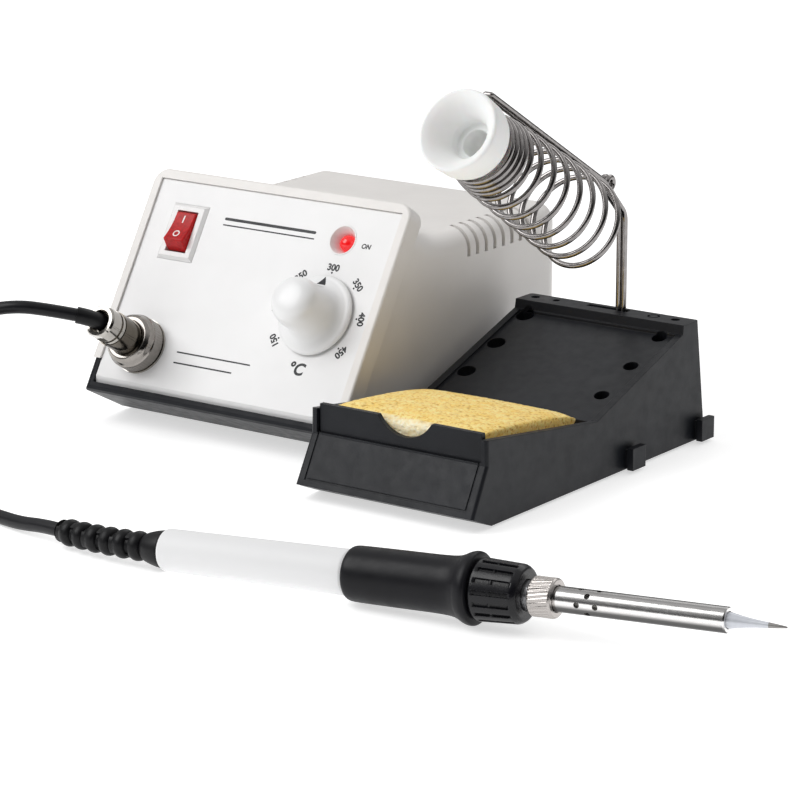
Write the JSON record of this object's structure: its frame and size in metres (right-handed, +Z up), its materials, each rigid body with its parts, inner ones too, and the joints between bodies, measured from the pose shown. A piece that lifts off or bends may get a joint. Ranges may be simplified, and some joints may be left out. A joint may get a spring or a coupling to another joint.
{
  "type": "soldering iron station",
  "caption": "Analogue soldering station: mains housing with sloping control panel, tool stand with sponge and spring holder, and a corded iron lying in front.",
  "frame": {"origin": "centre of the footprint of the housing, stand and iron, on the surface they stand on; the free cord is not counted", "axes": "+X to the right seen from the front, +Y towards the back of the housing, +Z up"},
  "size_m": [0.412, 0.2878, 0.1409],
  "materials": {
    "housing_white": "fine satin ABS, warm white",
    "panel_white": "smooth satin plate",
    "shell_black": "satin moulded plastic",
    "stand_black": "lightly textured moulded plastic",
    "rubber_black": "matt rubber",
    "screw_steel": "zinc plated",
    "switch_white": "smooth",
    "rocker_red": "translucent red",
    "led_red": "lit red lens",
    "metal_grey": "plated steel",
    "knob_white": "gloss",
    "chrome_metal": "polished nickel chrome",
    "core_iron": "varnished laminations",
    "winding_brown": "taped winding",
    "spacer_white": "nylon",
    "board_green": "solder mask",
    "component_black": "moulded packages",
    "fuse_glass": "clear",
    "sponge_yellow": "cellulose sponge",
    "funnel_white": "heat-proof moulding",
    "wire_steel": "bright drawn spring wire",
    "handle_white": "smooth",
    "grip_rubber": "smooth soft rubber",
    "collar_black": "heat-proof phenolic",
    "nut_nickel": "knurled nickel",
    "barrel_steel": "brushed stainless",
    "tip_plated": "plated, tinned end",
    "ceramic_white": "ceramic",
    "cord_black": "smooth jacket",
    "tie_black": "nylon tie"
  },
  "bodies": {
    "root": {"upper_housing": "housing_white", "lower_shell": "shell_black", "rubber_feet": "rubber_black", "housing_screws": "screw_steel", "front_panel": "panel_white", "rocker_switch_body": "switch_white", "indicator_bezel": "switch_white", "indicator_led": "led_red", "potentiometer_body": "metal_grey", "potentiometer_nut": "screw_steel", "panel_socket": "chrome_metal", "socket_washer": "chrome_metal", "plug_shell": "chrome_metal", "plug_cable_clamp": "chrome_metal", "plug_sleeve": "rubber_black", "transformer_core": "core_iron", "transformer_winding": "winding_brown", "transformer_bracket": "metal_grey", "transformer_screws": "screw_steel", "board_spacers": "spacer_white", "board_screws": "screw_steel", "circuit_board": "board_green", "board_components": "component_black", "fuse_holder": "shell_black", "fuse_holder_nut": "shell_black", "fuse": "fuse_glass", "mains_gland": "rubber_black", "cord_coil": "cord_black", "coil_tie": "tie_black", "cord_iron_run": "cord_black", "cord_plug_run": "cord_black"},
    "rocker": {"rocker_paddle": "rocker_red"},
    "knob": {"temperature_knob": "knob_white", "potentiometer_shaft": "metal_grey"},
    "coupling_ring": {"plug_coupling_ring": "chrome_metal"},
    "fuse_cap": {"fuse_cap": "shell_black"},
    "stand": {"stand_base": "stand_black", "stand_feet": "rubber_black"},
    "tray": {"sponge_tray": "stand_black"},
    "sponge": {"sponge": "sponge_yellow"},
    "holder": {"holder_funnel": "funnel_white", "holder_spring": "wire_steel", "holder_wire": "wire_steel"},
    "iron": {"iron_handle": "handle_white", "strain_relief": "rubber_black", "grip_sleeve": "grip_rubber", "heater_mount": "metal_grey", "heater_element": "ceramic_white"},
    "collar": {"collar_nut": "collar_black"},
    "barrel": {"barrel_tube": "barrel_steel", "soldering_tip": "tip_plated"},
    "barrel_nut": {"barrel_nut": "nut_nickel"}
  },
  "joints": [
    {"name": "rocker_tilt", "type": "hinge", "parent": "root", "child": "rocker", "pos_m": [-0.15553, 0.02019, 0.0676], "axis": [1, 0, 0], "range_deg": [0, 28]},
    {"name": "knob_turn", "type": "hinge", "parent": "root", "child": "knob", "pos_m": [-0.08473, 0.00662, 0.04929], "axis": [0, -0.8526, 0.5225], "range_deg": [-128, 128]},
    {"name": "coupling_ring_turn", "type": "hinge", "parent": "root", "child": "coupling_ring", "pos_m": [-0.15693, -0.00955, 0.03246], "axis": [0, -0.8526, 0.5225], "range_deg": [0, 720]},
    {"name": "fuse_cap_turn", "type": "hinge", "parent": "root", "child": "fuse_cap", "pos_m": [-0.08373, 0.13045, 0.042], "axis": [0, 1, 0], "range_deg": [0, 60]},
    {"name": "stand_lift", "type": "slide", "parent": "root", "child": "stand", "axis": [0, 0, 1], "range_m": [0, 0.04]},
    {"name": "tray_lift", "type": "slide", "parent": "stand", "child": "tray", "axis": [0, 0, 1], "range_m": [0, 0.03]},
    {"name": "sponge_lift", "type": "slide", "parent": "tray", "child": "sponge", "axis": [0, 0, 1], "range_m": [0, 0.025]},
    {"name": "holder_lift", "type": "slide", "parent": "stand", "child": "holder", "axis": [0, 0, 1], "range_m": [0, 0.03]},
    {"name": "iron_lift", "type": "slide", "parent": "root", "child": "iron", "axis": [0, 0, 1], "range_m": [0, 0.05]},
    {"name": "collar_nut_turn", "type": "hinge", "parent": "iron", "child": "collar", "pos_m": [0.08387, -0.12251, 0.01201], "axis": [0.992, 0.1195, 0.0407], "range_deg": [0, 720]},
    {"name": "barrel_pull", "type": "slide", "parent": "iron", "child": "barrel", "axis": [0.992, 0.1195, 0.0407], "range_m": [0, 0.05]},
    {"name": "barrel_nut_turn", "type": "hinge", "parent": "barrel", "child": "barrel_nut", "pos_m": [0.09776, -0.12084, 0.01258], "axis": [0.992, 0.1195, 0.0407], "range_deg": [0, 720]}
  ]
}
